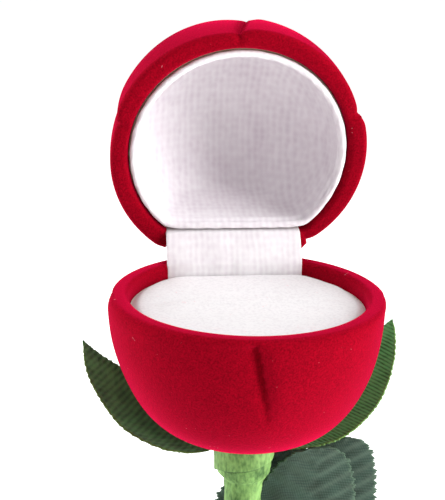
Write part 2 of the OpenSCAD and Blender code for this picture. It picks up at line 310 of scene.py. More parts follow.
def add_flock(name, deep, bright, sheen):
    """Short velvet flock: a deep colour seen straight on, a bright one along the fibres' tips."""
    material, tree, shader = new_material(name)
    shader.inputs["Roughness"].default_value = 0.9
    shader.inputs["Specular IOR Level"].default_value = 0.02
    shader.inputs["Sheen Weight"].default_value = sheen
    shader.inputs["Sheen Roughness"].default_value = 0.42
    shader.inputs["Sheen Tint"].default_value = (1, 0.008, 0.09, 1)
    place = tree.nodes.new("ShaderNodeTexCoord")
    clumps = tree.nodes.new("ShaderNodeTexNoise")
    clumps.inputs["Scale"].default_value = 3700
    clumps.inputs["Detail"].default_value = 3
    link(tree, place, "Object", clumps, "Vector")
    nap = tree.nodes.new("ShaderNodeTexNoise")
    nap.inputs["Scale"].default_value = 260
    nap.inputs["Detail"].default_value = 4
    link(tree, place, "Object", nap, "Vector")
    brushed = tree.nodes.new("ShaderNodeMath")
    brushed.operation = "MULTIPLY_ADD"
    brushed.inputs[1].default_value = 0.12
    link(tree, nap, "Fac", brushed, 0)
    link(tree, clumps, "Fac", brushed, 2)
    ramp = tree.nodes.new("ShaderNodeValToRGB")
    ramp.color_ramp.elements[0].position = 0.26
    ramp.color_ramp.elements[0].color = (*deep, 1)
    ramp.color_ramp.elements[1].position = 0.84
    ramp.color_ramp.elements[1].color = (*bright, 1)
    link(tree, brushed, 0, ramp, "Fac")
    strands = tree.nodes.new("ShaderNodeTexNoise")
    strands.inputs["Scale"].default_value = 620
    strands.inputs["Detail"].default_value = 2
    strands.inputs["Distortion"].default_value = 2
    link(tree, place, "Object", strands, "Vector")
    lint = tree.nodes.new("ShaderNodeMapRange")
    lint.inputs["From Min"].default_value = 0.75
    lint.inputs["From Max"].default_value = 0.8
    lint.inputs["To Max"].default_value = 0.5
    link(tree, strands, "Fac", lint, "Value")
    linted = tree.nodes.new("ShaderNodeMix")
    linted.data_type = "RGBA"
    link(tree, lint, "Result", linted, "Factor")
    link(tree, ramp, "Color", linted, "A")
    linted.inputs["B"].default_value = (0.8, 0.35, 0.4, 1)
    link(tree, linted, "Result", shader, "Base Color")
    pile = tree.nodes.new("ShaderNodeBump")
    pile.inputs["Strength"].default_value = 0.4
    pile.inputs["Distance"].default_value = 0.12 * MM
    link(tree, clumps, "Fac", pile, "Height")
    link(tree, pile, "Normal", shader, "Normal")
    return material


red_flock = add_flock("red_flock", (0.14, 0.0004, 0.004), (0.38, 0.001, 0.012), 1)
cup_mesh = rose_shell(cup_r, cup_depth, *cup_bowl, cup_back, rim_lip, cup_petals)
bmesh.ops.transform(cup_mesh, matrix=Matrix.Translation((0, 0, rim_z)) @ Matrix.Scale(-1, 4, (0, 0, 1)),
                    verts=cup_mesh.verts)
finish_piece("rose_cup", cup_mesh, red_flock, "base", ["cup_shell"], fineness=0)

# ---------------------------------------------------------------------------------------------
# Lid of the rosebud: the same flocked plastic, a taller dome whose petals wind up into a whorl.
# It is made closed, with its rim 0.4 mm above the cup's, and turned open about the hinge pin.
lid_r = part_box("lid_shell")[1].x
lid_depth = 24.1 * MM
lid_back = 13.9 * MM
lid_bowl = (2.58, 2)
whorl_start = 0.84
rim_gap = 2 * (hinge_point.z - rim_z)
lid_rim_z = rim_z + rim_gap
open_up = (Matrix.Translation(hinge_point) @ Matrix.Rotation(-open_angle, 4, "X")
           @ Matrix.Translation(-hinge_point))


def lid_petals(turn, share, r):
    """Five leaning petals, and on top of them the bud's three inner petals wound into a whorl."""
    lean = math.radians(-91.5 + 14 * share + 55 * share ** 4)
    outer = petal_relief(turn, lean, petals=5, step=0.7 * MM, crown=0.2 * MM,
                         groove=0.35 * MM, width=0.05)
    wind = 1.7 * math.log(max(r, 0.8 * MM) / (11 * MM))
    v = (3 * (turn + wind) / (2 * math.pi)) % 1
    bud = 0.8 * MM * (1 - eased(v, 0, 1)) - 0.4 * MM
    whorl = eased(share, whorl_start, whorl_start + 0.06)
    edge = 0.2 * MM * math.exp(-((share - whorl_start - 0.02) / 0.035) ** 2)
    pole = eased(r, 0.3 * MM, 2 * MM)
    return outer * (1 - whorl) + bud * whorl * pole + edge


lid_mesh = rose_shell(lid_r, lid_depth, *lid_bowl, lid_back, rim_lip, lid_petals)
bmesh.ops.translate(lid_mesh, verts=lid_mesh.verts, vec=(0, 0, lid_rim_z))
bmesh.ops.transform(lid_mesh, verts=lid_mesh.verts, matrix=open_up)
finish_piece("rose_lid", lid_mesh, red_flock, "lid", ["lid_shell"], fineness=0)

# ---------------------------------------------------------------------------------------------
# Ring pad: a foam block under white velour, pushed into the cup, with one slit that grips a ring.
# The velour is tucked into the slit and down round its edge; its front lip stands a little higher.
pad_low, pad_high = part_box("pad_cover")
pad_r = pad_high.x - 0.05 * MM
pad_top = pad_high.z
pad_back = pad_high.y
slit_half = 11.5 * MM
slit_depth = 4.2 * MM
pad_crown = 0.3 * MM
front_lip = 0.8 * MM
back_dip = 1.0 * MM
edge_tuck = 0.75 * MM
back_tuck = 0.65 * MM


def add_velour(name, colour):
    """White short-pile velour: fine tufts, a soft sheen and a few red fibres off the flock."""
    material, tree, shader = new_material(name)
    shader.inputs["Roughness"].default_value = 0.95
    shader.inputs["Specular IOR Level"].default_value = 0.1
    shader.inputs["Sheen Weight"].default_value = 0.15
    shader.inputs["Sheen Roughness"].default_value = 0.5
    place = tree.nodes.new("ShaderNodeTexCoord")
    tufts = tree.nodes.new("ShaderNodeTexNoise")
    tufts.inputs["Scale"].default_value = 2200
    tufts.inputs["Detail"].default_value = 4
    link(tree, place, "Object", tufts, "Vector")
    shade = tree.nodes.new("ShaderNodeValToRGB")
    shade.color_ramp.elements[0].position = 0.3
    shade.color_ramp.elements[0].color = (colour[0] * 0.9, colour[1] * 0.89, colour[2] * 0.9, 1)
    shade.color_ramp.elements[1].position = 0.55
    shade.color_ramp.elements[1].color = (*colour, 1)
    link(tree, tufts, "Fac", shade, "Fac")
    fibres = tree.nodes.new("ShaderNodeTexNoise")
    fibres.inputs["Scale"].default_value = 700
    fibres.inputs["Detail"].default_value = 3
    fibres.inputs["Distortion"].default_value = 1.5
    link(tree, place, "Object", fibres, "Vector")
    few = tree.nodes.new("ShaderNodeMapRange")
    few.inputs["From Min"].default_value = 0.68
    few.inputs["From Max"].default_value = 0.76
    few.inputs["To Max"].default_value = 0.35
    link(tree, fibres, "Fac", few, "Value")
    tinted = tree.nodes.new("ShaderNodeMix")
    tinted.data_type = "RGBA"
    link(tree, few, "Result", tinted, "Factor")
    link(tree, shade, "Color", tinted, "A")
    tinted.inputs["B"].default_value = (0.8, 0.25, 0.3, 1)
    link(tree, tinted, "Result", shader, "Base Color")
    pile = tree.nodes.new("ShaderNodeBump")
    pile.inputs["Strength"].default_value = 0.22
    pile.inputs["Distance"].default_value = 0.1 * MM
    link(tree, tufts, "Fac", pile, "Height")
    link(tree, pile, "Normal", shader, "Normal")
    return material


pad_mesh = bmesh.new()
bmesh.ops.create_grid(pad_mesh, x_segments=76, y_segments=96, size=1)
for vert in pad_mesh.verts:
    u, v, _ = vert.co
    v = math.copysign(abs(v) ** 1.6, v)
    x = pad_r * u * math.sqrt(1 - v * v / 2)
    y = pad_r * v * math.sqrt(1 - u * u / 2)
    reach = math.hypot(x, y) / pad_r
    along = 1 - eased(abs(x), slit_half - 0.8 * MM, slit_half)
    near_slit = 1 - eased(abs(x), slit_half - 2 * MM, slit_half + 4 * MM)
    gap = abs(y) + 0.06 * MM * noise.noise(Vector((x * 900, 0, 3)))
    height = pad_crown * (1 - reach ** 2)
    height -= edge_tuck * eased(reach, 0.93, 1)
    height -= back_tuck * eased(y, pad_back - 0.4 * MM, pad_back + 4 * MM)
    if y < 0:
        height += front_lip * near_slit * math.exp(-((y + 1.2 * MM) / (1.7 * MM)) ** 2)
    else:
        height -= back_dip * near_slit * math.exp(-(y / (2.6 * MM)) ** 2)
    height -= along * (slit_depth * (1 - eased(gap, 0.1 * MM, 0.5 * MM))
                       + 0.45 * MM * math.exp(-(gap / (0.7 * MM)) ** 2))
    height += 0.14 * MM * noise.noise(Vector((x, y, 0)) * 190)
    height += 0.05 * MM * noise.noise(Vector((x, y, 9)) * 620)
    vert.co = (x, soft_limit(y, pad_back, 2 * MM), pad_top + height)
velour = add_velour("white_velour", (0.80, 0.785, 0.79))
pad = finish_piece("velour_pad", pad_mesh, velour, "base", ["pad_cover"],
                   thickness=0.35 * MM)

for node, name, colour, grain in (("pad_foam", "foam", (0.86, 0.84, 0.74), 900),
                                  ("pad_card", "pad_card", (0.42, 0.33, 0.22), 350),
                                  ("lid_card", "lid_card", (0.46, 0.37, 0.26), 350)):
    grained, tree, shader = new_material(name)
    shader.inputs["Roughness"].default_value = 0.9
    place = tree.nodes.new("ShaderNodeTexCoord")
    cells = tree.nodes.new("ShaderNodeTexVoronoi")
    cells.inputs["Scale"].default_value = grain
    link(tree, place, "Object", cells, "Vector")
    shade = tree.nodes.new("ShaderNodeValToRGB")
    shade.color_ramp.elements[0].color = (colour[0] * 0.7, colour[1] * 0.7, colour[2] * 0.7, 1)
    shade.color_ramp.elements[1].color = (*colour, 1)
    link(tree, cells, "Distance", shade, "Fac")
    link(tree, shade, "Color", shader, "Base Color")
    relief = tree.nodes.new("ShaderNodeBump")
    relief.inputs["Strength"].default_value = 0.5
    relief.inputs["Distance"].default_value = 0.1 * MM
    link(tree, cells, "Distance", relief, "Height")
    link(tree, relief, "Normal", shader, "Normal")
    frame["nodes"][node].data.materials.clear()
    frame["nodes"][node].data.materials.append(grained)

# ---------------------------------------------------------------------------------------------
# Lid lining: white satin pressed over a card dish, with the dish's flat back down by the hinge.
# A thin roll of the same satin finishes its edge, a little below the lid's own rim.
lining_r = lid_r - shell_wall - 0.65 * MM
lining_depth = lid_depth - shell_wall - 0.65 * MM
lining_back = 12.85 * MM
lining_edge_z = 1.15 * MM
tuck_z, tuck_depth, tuck_half = 1.9 * MM, 0.75 * MM, 0.75 * MM
roll_r = 0.55 * MM
roll_z = 0.7 * MM


def add_satin(name, colour, across):
    """Satin with floats along one thread: fine lines, a soft grid of pin dots and a silky sheen."""
    material, tree, shader = new_material(name)
    shader.inputs["Roughness"].default_value = 0.5
    shader.inputs["Specular IOR Level"].default_value = 0.35
    shader.inputs["Sheen Weight"].default_value = 0.25
    shader.inputs["Sheen Roughness"].default_value = 0.4
    place = tree.nodes.new("ShaderNodeTexCoord")
    threads = tree.nodes.new("ShaderNodeTexWave")
    threads.bands_direction = "X"
    threads.inputs["Scale"].default_value = across
    threads.inputs["Distortion"].default_value = 3
    threads.inputs["Detail"].default_value = 2
    link(tree, place, "Object", threads, "Vector")
    floats = tree.nodes.new("ShaderNodeTexVoronoi")
    floats.inputs["Scale"].default_value = across * 2.6
    floats.inputs["Randomness"].default_value = 0.5
    link(tree, place, "Object", floats, "Vector")
    weave = tree.nodes.new("ShaderNodeMath")
    weave.operation = "MULTIPLY_ADD"
    weave.inputs[1].default_value = 0.35
    link(tree, threads, "Fac", weave, 0)
    link(tree, floats, "Distance", weave, 2)
    cloud = tree.nodes.new("ShaderNodeTexNoise")
    cloud.inputs["Scale"].default_value = 160
    cloud.inputs["Detail"].default_value = 3
    link(tree, place, "Object", cloud, "Vector")
    shade = tree.nodes.new("ShaderNodeValToRGB")
    shade.color_ramp.elements[0].position = 0.2
    shade.color_ramp.elements[0].color = (colour[0] * 0.8, colour[1] * 0.75, colour[2] * 0.79, 1)
    shade.color_ramp.elements[1].position = 0.8
    shade.color_ramp.elements[1].color = (*colour, 1)
    part = tree.nodes.new("ShaderNodeMath")
    part.operation = "MULTIPLY_ADD"
    part.inputs[1].default_value = 0.4
    link(tree, weave, 0, part, 0)
    dim = tree.nodes.new("ShaderNodeMath")
    dim.operation = "MULTIPLY"
    dim.inputs[1].default_value = 0.6
    link(tree, cloud, "Fac", dim, 0)
    link(tree, dim, 0, part, 2)
    link(tree, part, 0, shade, "Fac")
    link(tree, shade, "Color", shader, "Base Color")
    relief = tree.nodes.new("ShaderNodeBump")
    relief.inputs["Strength"].default_value = 0.22
    relief.inputs["Distance"].default_value = 0.06 * MM
    link(tree, weave, 0, relief, "Height")
    link(tree, relief, "Normal", shader, "Normal")
    return material


def edge_tuck_in(height):
    """How far the satin is drawn in, just above the roll that finishes its edge."""
    return tuck_depth * math.exp(-((height - tuck_z) / tuck_half) ** 2)


def gathers(turn, share):
    """Soft pulls where the satin is pressed round the dish: deepest near its edge."""
    pull = noise.noise(Vector((math.cos(turn) * 2.6, math.sin(turn) * 2.6, share * 3)))
    return 0.28 * MM * pull * (1 - eased(share, 0.1, 0.9))


satin = add_satin("lining_satin", (0.92, 0.89, 0.91), 300)
lining_points = []
for i in range(46):
    share = math.sin(math.pi / 2 * i / 45)
    height = lining_edge_z + share * (lining_depth - lining_edge_z)
    dish_r = bowl_r(lining_r, height / lining_depth, *lid_bowl)
    lining_points.append((max(dish_r - edge_tuck_in(height), 0), height))
lining_mesh = spin_outline(lining_points, 168)
for vert in lining_mesh.verts:
    x, y, z = vert.co
    turn = math.atan2(y, x)
    share = z / lining_depth
    pull = gathers(turn, share)
    vert.co.x -= math.cos(turn) * pull
    vert.co.y = soft_limit(y - math.sin(turn) * pull, lining_back - edge_tuck_in(z), 1.4 * MM)
    vert.co.z -= abs(pull) * eased(share, 0.6, 1)
bmesh.ops.translate(lining_mesh, verts=lining_mesh.verts, vec=(0, 0, lid_rim_z))
bmesh.ops.transform(lining_mesh, verts=lining_mesh.verts, matrix=open_up)
lining = finish_piece("lid_satin", lining_mesh, satin, "lid", ["lid_lining"],
                      thickness=0.28 * MM)


def d_loop(turn, loop_r, back):
    """A point on the D round the lid's opening."""
    return Vector((loop_r * math.cos(turn), soft_limit(loop_r * math.sin(turn), back, 1.6 * MM), 0))


roll_back = lining_back - 0.1 * MM
roll_loop_r = lining_r - 0.2 * MM
roll_twists = 34
roll_sides = [2 * math.pi * i / 14 for i in range(14)]
roll_mesh = spin_outline([(roll_loop_r + roll_r * math.cos(a), roll_r * math.sin(a)) for a in roll_sides],
                         280, ring=True)
for vert in roll_mesh.verts:
    x, y, z = vert.co
    turn = math.atan2(y, x)
    a = math.atan2(z, math.hypot(x, y) - roll_loop_r)
    ahead, behind = (d_loop(turn + step, roll_loop_r, roll_back) for step in (0.01, -0.01))
    out = (ahead - behind).normalized().cross(Vector((0, 0, 1)))
    twist = 0.07 * math.sin(3 * a + roll_twists * turn)
    fold = roll_r * (1 + twist + 0.06 * noise.noise(Vector((turn * 12, a, 0))))
    vert.co = (d_loop(turn, roll_loop_r, roll_back) + fold * math.cos(a) * out
               + Vector((0, 0, fold * math.sin(a) + lid_rim_z + roll_z)))
bmesh.ops.transform(roll_mesh, verts=roll_mesh.verts, matrix=open_up)
finish_piece("lining_roll", roll_mesh, satin, "lid", ["lining_welt"])

# ---------------------------------------------------------------------------------------------
# Hinge strap: one strip of the same satin, glued under the pad's back edge and under the lining's
# flat edge. It hides the hinge and folds between the rims when the lid closes.
strap_half = 11.2 * MM
strap_foot = Vector((0, 13.95 * MM, rim_z - 3 * MM))
strap_knee = Vector((0, 13.95 * MM, rim_z + 0.1 * MM))
strap_top = Vector((0, hinge_point.y - 0.9 * MM, rim_z + 4.6 * MM))
strap_tail = strap_top + 3 * MM * Vector((0, math.sin(open_angle), math.cos(open_angle)))
strap_way = [strap_foot, strap_knee, strap_top, strap_tail]
strap_mesh = bmesh.new()
bmesh.ops.create_grid(strap_mesh, x_segments=56, y_segments=40, size=1)
strap_steps = [(b - a).length for a, b in zip(strap_way, strap_way[1:])]
strap_length = sum(strap_steps)
for vert in strap_mesh.verts:
    u, v, _ = vert.co
    run = (v + 1) / 2 * strap_length
    bow = 0
    for a, b, step in zip(strap_way, strap_way[1:], strap_steps):
        if run <= step + 1e-9:
            break
        run -= step
    place = a.lerp(b, min(run / step, 1))
    if a is strap_knee:
        bow = 0.3 * MM * math.sin(math.pi * run / step)
    ripple = 0.10 * MM * noise.noise(Vector((u * 2.2, v * 1.6, 4))) + 0.05 * MM * math.sin(u * 9 + v * 2)
    middle = math.exp(-((u + 0.05) / 0.1) ** 2) * 0.12 * MM * (1 - v)
    vert.co = place + Vector((u * strap_half - 0.35 * MM, ripple - bow + middle, 0))
bmesh.ops.smooth_vert(strap_mesh, verts=strap_mesh.verts, factor=0.5, use_axis_y=True, use_axis_z=True)
strap_satin = add_satin("strap_satin", (0.92, 0.90, 0.91), 330)
strap = finish_piece("satin_strap", strap_mesh, strap_satin, None, ["hinge_strap"],
                     thickness=0.22 * MM, outward=False)
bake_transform(strap)

# ---------------------------------------------------------------------------------------------
# Hinge, spring and screw: pressed nickel-plated steel leaves on a drawn pin, a blued spring blade
# behind the strap, and the screw and washer that hold the cup down on the stem's receptacle.
def add_metal(name, colour, roughness, brushed):
    """Plated steel: fine drawn lines along X and faint rolling marks."""
    material, tree, shader = new_material(name)
    shader.inputs["Metallic"].default_value = 1
    place = tree.nodes.new("ShaderNodeTexCoord")
    stretch = tree.nodes.new("ShaderNodeMapping")
    stretch.inputs["Scale"].default_value = (brushed, 1, 1)
    link(tree, place, "Object", stretch, "Vector")
    marks = tree.nodes.new("ShaderNodeTexNoise")
    marks.inputs["Scale"].default_value = 1500
    marks.inputs["Detail"].default_value = 3
    link(tree, stretch, "Vector", marks, "Vector")
    shade = tree.nodes.new("ShaderNodeValToRGB")
    shade.color_ramp.elements[0].position = 0.3
    shade.color_ramp.elements[0].color = (colour[0] * 0.75, colour[1] * 0.75, colour[2] * 0.75, 1)
    shade.color_ramp.elements[1].position = 0.7
    shade.color_ramp.elements[1].color = (*colour, 1)
    link(tree, marks, "Fac", shade, "Fac")
    link(tree, shade, "Color", shader, "Base Color")
    gloss = tree.nodes.new("ShaderNodeMapRange")
    gloss.inputs["To Min"].default_value = roughness * 0.7
    gloss.inputs["To Max"].default_value = roughness * 1.4
    link(tree, marks, "Fac", gloss, "Value")
    link(tree, gloss, "Result", shader, "Roughness")
    relief = tree.nodes.new("ShaderNodeBump")
    relief.inputs["Strength"].default_value = 0.15
    relief.inputs["Distance"].default_value = 0.02 * MM
    link(tree, marks, "Fac", relief, "Height")
    link(tree, relief, "Normal", shader, "Normal")
    return material


nickel = add_metal("nickel_steel", (0.72, 0.70, 0.66), 0.28, 0.1)
blued = add_metal("blued_steel", (0.20, 0.22, 0.27), 0.35, 0.1)
zinc = add_metal("zinc_steel", (0.60, 0.62, 0.64), 0.35, 1)
iron = add_metal("drawn_iron", (0.30, 0.29, 0.28), 0.5, 1)
for metal, nodes in ((nickel, ("hinge_leaf_base", "hinge_leaf_lid", "hinge_pin")),
                     (blued, ("snap_spring",)),
                     (zinc, ("cup_screw", "cup_washer")),
                     (iron, ("stem_wire",))):
    for node in nodes:
        frame["nodes"][node].data.materials.clear()
        frame["nodes"][node].data.materials.append(metal)

# ---------------------------------------------------------------------------------------------
# Stem: a wired plastic tube wound with pale green crepe tape, once at its lower end and twice
# above, with each turn lapping over the last. The tube and receptacle are plain moulded plastic.
def add_crepe(name, dark, light):
    """Waxed crepe paper: close up-and-down wrinkles, paler where the paper is stretched thin, and painted
    shade from the fold_shade attribute in its folds and under a lapped edge.
    """
    material, tree, shader = new_material(name)
    shader.inputs["Roughness"].default_value = 0.62
    shader.inputs["Specular IOR Level"].default_value = 0.3
    shader.inputs["Subsurface Weight"].default_value = 0.05
    shader.inputs["Subsurface Scale"].default_value = 0.5 * MM
    place = tree.nodes.new("ShaderNodeTexCoord")
    drawn_out = tree.nodes.new("ShaderNodeMapping")
    drawn_out.inputs["Scale"].default_value = (1, 1, 0.4)
    link(tree, place, "Object", drawn_out, "Vector")
    wrinkles = tree.nodes.new("ShaderNodeTexNoise")
    wrinkles.inputs["Scale"].default_value = 2100
    wrinkles.inputs["Detail"].default_value = 4
    link(tree, drawn_out, "Vector", wrinkles, "Vector")
    patches = tree.nodes.new("ShaderNodeTexNoise")
    patches.inputs["Scale"].default_value = 330
    patches.inputs["Detail"].default_value = 4
    link(tree, place, "Object", patches, "Vector")
    total = tree.nodes.new("ShaderNodeMath")
    total.operation = "ADD"
    link(tree, wrinkles, "Fac", total, 0)
    link(tree, patches, "Fac", total, 1)
    shade = tree.nodes.new("ShaderNodeValToRGB")
    shade.color_ramp.elements[0].position = 0.35
    shade.color_ramp.elements[0].color = (*dark, 1)
    shade.color_ramp.elements[1].position = 0.62
    shade.color_ramp.elements[1].color = (*light, 1)
    halved = tree.nodes.new("ShaderNodeMath")
    halved.operation = "MULTIPLY"
    halved.inputs[1].default_value = 0.5
    link(tree, total, 0, halved, 0)
    link(tree, halved, 0, shade, "Fac")
    # Painted shade: a dark green mixed in where the mesh's fold_shade attribute marks folds and the
    # underside of a lapped edge.
    painted_shade = tree.nodes.new("ShaderNodeAttribute")
    painted_shade.attribute_name = "fold_shade"
    shaded = tree.nodes.new("ShaderNodeMix")
    shaded.data_type = "RGBA"
    link(tree, painted_shade, "Fac", shaded, "Factor")
    link(tree, shade, "Color", shaded, "A")
    shaded.inputs["B"].default_value = (0.012, 0.045, 0.010, 1)
    link(tree, shaded, "Result", shader, "Base Color")
    relief = tree.nodes.new("ShaderNodeBump")
    relief.inputs["Strength"].default_value = 0.5
    relief.inputs["Distance"].default_value = 0.09 * MM
    link(tree, total, 0, relief, "Height")
    link(tree, relief, "Normal", shader, "Normal")
    return material


def closed_loop(mesh, points):
    """A ring of edges through the points, for a loft."""
    verts = [mesh.verts.new(point) for point in points]
    return [mesh.edges.new(pair) for pair in zip(verts, verts[1:] + verts[:1])]


def loft(mesh, rings, joined=False):
    """Bridges rings of points in turn, and the last back to the first if they make one wall."""
    loops = [closed_loop(mesh, points) for points in rings]
    for first, second in zip(loops, loops[1:] + (loops[:1] if joined else [])):
        bmesh.ops.bridge_loops(mesh, edges=first + second)


def tape_wrinkle(turn, z, depth):
    """Small crumples in wound tape, the same all the way round."""
    return depth * noise.noise(Vector((math.cos(turn) * 3, math.sin(turn) * 3, z * 500)))


crepe = add_crepe("floral_tape", (0.05, 0.13, 0.026), (0.24, 0.44, 0.12))
stem_low, stem_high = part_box("stem_tape")
upper_tape_r = stem_high.x
end_tape_r = 2.75 * MM
end_tape_top = stem_low.z + 60 * MM
tape_inner_r = 2.2 * MM
tape_pitch = 6.5 * MM
tape_lap = 0.13 * MM
stem_rows = 420
stem_outline = [(end_tape_r, stem_low.z + (stem_high.z - stem_low.z) * row / stem_rows)
                for row in range(stem_rows + 1)]
stem_outline += [(tape_inner_r, stem_high.z), (tape_inner_r, stem_low.z)]
stem_mesh = spin_outline(stem_outline, 60, ring=True)
for vert in stem_mesh.verts:
    x, y, z = vert.co
    turn = math.atan2(y, x)
    if math.hypot(x, y) < tape_inner_r + 0.1 * MM:
        continue
    double = eased(z + 0.9 * MM * math.sin(turn), end_tape_top - 0.2 * MM, end_tape_top + 0.2 * MM)
    base_r = end_tape_r + (upper_tape_r - end_tape_r) * double - 0.06 * MM
    lap = ((z - stem_low.z) / tape_pitch - turn / (2 * math.pi)) % 1
    r = base_r + tape_lap * (eased(lap, 0, 0.06) * (1 - lap) - 0.3) + tape_wrinkle(turn, z, 0.07 * MM)
    r -= 0.12 * MM * (1 - eased(min(z - stem_low.z, stem_high.z - z), 0, 0.3 * MM))
    vert.co = (r * math.cos(turn), r * math.sin(turn), z)
finish_piece("wound_stem", stem_mesh, crepe, "base", ["stem_tape"], fineness=0)

# ---------------------------------------------------------------------------------------------
# Collar: the same tape wound over the receptacle under the cup. The last turn's lower edge runs
# round it at a slant, and the turn before it is gathered down on to the stem in a few sharp folds.
collar_low, collar_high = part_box("collar_tape")
collar_r = collar_high.x
collar_top = collar_high.z
collar_end = collar_low.z - 0.8 * MM
collar_wall_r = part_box("receptacle")[1].x + 0.05 * MM
# Each fold: its turn in degrees, its height below the collar's top, its slant and its half length
folds = [(-24, 6.1 * MM, 0.8, 1.1 * MM), (-38, 6.4 * MM, 0.6, 0.8 * MM), (-66, 6.5 * MM, 0.45, 1.1 * MM),
         (-112, 6.4 * MM, 0.7, 0.8 * MM), (-122, 6.6 * MM, -0.4, 0.5 * MM), (60, 6.4 * MM, 0.6, 1 * MM),
         (150, 6.3 * MM, 0.5, 0.9 * MM)]


def fold_depth(turn, z):
    """How deep in a fold a place on the collar is, from 0 to 1."""
    depth = 0
    for fold_turn, below, slant, half in folds:
        across = (turn - math.radians(fold_turn) + math.pi) % (2 * math.pi) - math.pi
        run = across * 3.6 * MM
        rise = z - (collar_top - below)
        along = run * math.cos(slant) + rise * math.sin(slant)
        off = rise * math.cos(slant) - run * math.sin(slant)
        depth += math.exp(-(off / (0.17 * MM)) ** 2) * (1 - eased(abs(along), 0.5 * half, half))
    return min(depth, 1)


def collar_lap(turn):
    """Height of the free edge of the last turn, which climbs round the collar."""
    leftward = (-turn / math.pi) % 2
    last_edge = collar_top - (4.15 + 2.9 * leftward ** 1.4 / 2 ** 0.4) * MM
    if leftward > 1:
        last_edge = collar_top - (7.05 - 2.9 * (leftward - 1)) * MM
    return last_edge


def collar_radius(turn, z):
    """The last turn of tape, and under its free edge the gathered turn before it."""
    last_edge = collar_lap(turn)
    gather_end = collar_top - (8.1 + 1.1 * math.cos(turn + 0.2)) * MM
    barrel = collar_r - 0.07 * MM + 0.1 * MM * math.sin(math.pi * min((collar_top - z) / (7 * MM), 1))
    barrel -= 0.35 * MM * (1 - eased(collar_top - z, 0, 0.5 * MM))
    slope = eased(z, gather_end, collar_top - 5.7 * MM)
    gathered = upper_tape_r + 0.1 * MM + (collar_r - 0.42 * MM - upper_tape_r) * slope
    last = eased(z, last_edge - 0.07 * MM, last_edge + 0.07 * MM)
    r = gathered + (max(barrel, gathered) - gathered) * last
    pleat = 0.1 * MM * math.sin(turn * 9 + z * 900) * (1 - last) * math.sin(math.pi * slope)
    return r + pleat - 0.45 * MM * fold_depth(turn, z) * (1 - last) + tape_wrinkle(turn, z, 0.1 * MM)


collar_rows = 140
collar_outline = [(collar_r, collar_end + (collar_top - collar_end) * row / collar_rows)
                  for row in range(collar_rows + 1)]
collar_outline += [(collar_wall_r, collar_top), (collar_wall_r, collar_top - 6.9 * MM),
                   (upper_tape_r + 0.06 * MM, collar_top - 8.3 * MM),
                   (upper_tape_r + 0.06 * MM, collar_end)]
collar_mesh = spin_outline(collar_outline, 120, ring=True)
# The fold_shade attribute carries painted shade into the crepe's colour: full in the folds, and a line
# just under the last turn's free edge.
painted_shade = collar_mesh.verts.layers.float.new("fold_shade")
for vert in collar_mesh.verts:
    x, y, z = vert.co
    turn = math.atan2(y, x)
    if math.hypot(x, y) > collar_r - 0.1 * MM:
        under_lap = math.exp(-((z - collar_lap(turn) + 0.12 * MM) / (0.13 * MM)) ** 2)
        vert[painted_shade] = max(0.75 * under_lap, fold_depth(turn, z))
        r = collar_radius(turn, z)
        vert.co = (r * math.cos(turn), r * math.sin(turn), z)
finish_piece("wound_collar", collar_mesh, crepe, "base", ["collar_tape"], fineness=0)

# ---------------------------------------------------------------------------------------------
# Binding: a short length of tape that holds the spray's stalk against the stem, wound round both.
binding_low, binding_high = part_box("spray_tape")
stalk_centre = Vector((2 * MM, 3.5 * MM))
stalk_hold_r = 1.25 * MM
binding_r = upper_tape_r + 0.45 * MM
binding_t = 0.36 * MM


def binding_ring(z, inset, laps):
    """Section round the stem and the stalk together, at a height."""
    points = []
    for side in range(72):
        turn = 2 * math.pi * side / 72
        way = Vector((math.cos(turn), math.sin(turn)))
        lap = ((z - binding_low.z) / (4.5 * MM) - turn / (2 * math.pi)) % 1
        thick = inset - laps * (0.11 * MM * (1 - lap) - 0.05 * MM + tape_wrinkle(turn, z, 0.08 * MM))
        spot = way * (binding_r - thick)
        if way.dot(stalk_centre) + stalk_hold_r > binding_r:
            spot = stalk_centre + way * (stalk_hold_r - thick)
        points.append((spot.x, spot.y, z))
    return points


binding_mesh = bmesh.new()
binding_rows = 40
binding_rings = [binding_ring(binding_low.z + (binding_high.z - binding_low.z) * row / binding_rows,
                              0.15 * MM if row in (0, binding_rows) else 0, 1)
                 for row in range(binding_rows + 1)]
binding_rings += [binding_ring(z, binding_t, 0) for z in (binding_high.z, binding_low.z)]
loft(binding_mesh, binding_rings, joined=True)
finish_piece("spray_binding", binding_mesh, crepe, "base", ["spray_tape"], fineness=0)

plastic, tree, shader = new_material("green_plastic")
shader.inputs["Roughness"].default_value = 0.42
place = tree.nodes.new("ShaderNodeTexCoord")
flow = tree.nodes.new("ShaderNodeTexNoise")
flow.inputs["Scale"].default_value = 420
flow.inputs["Detail"].default_value = 4
link(tree, place, "Object", flow, "Vector")
shade = tree.nodes.new("ShaderNodeValToRGB")
shade.color_ramp.elements[0].color = (0.030, 0.085, 0.022, 1)
shade.color_ramp.elements[1].color = (0.085, 0.20, 0.05, 1)
link(tree, flow, "Fac", shade, "Fac")
link(tree, shade, "Color", shader, "Base Color")
relief = tree.nodes.new("ShaderNodeBump")
relief.inputs["Strength"].default_value = 0.25
relief.inputs["Distance"].default_value = 0.05 * MM
link(tree, flow, "Fac", relief, "Height")
link(tree, relief, "Normal", shader, "Normal")
for node in ("stem_tube", "receptacle", "spray_stalk", "calyx_rib_left", "calyx_rib_right",
             "spray_rib_left", "spray_rib_middle", "spray_rib_right"):
    frame["nodes"][node].data.materials.clear()
    frame["nodes"][node].data.materials.append(plastic)

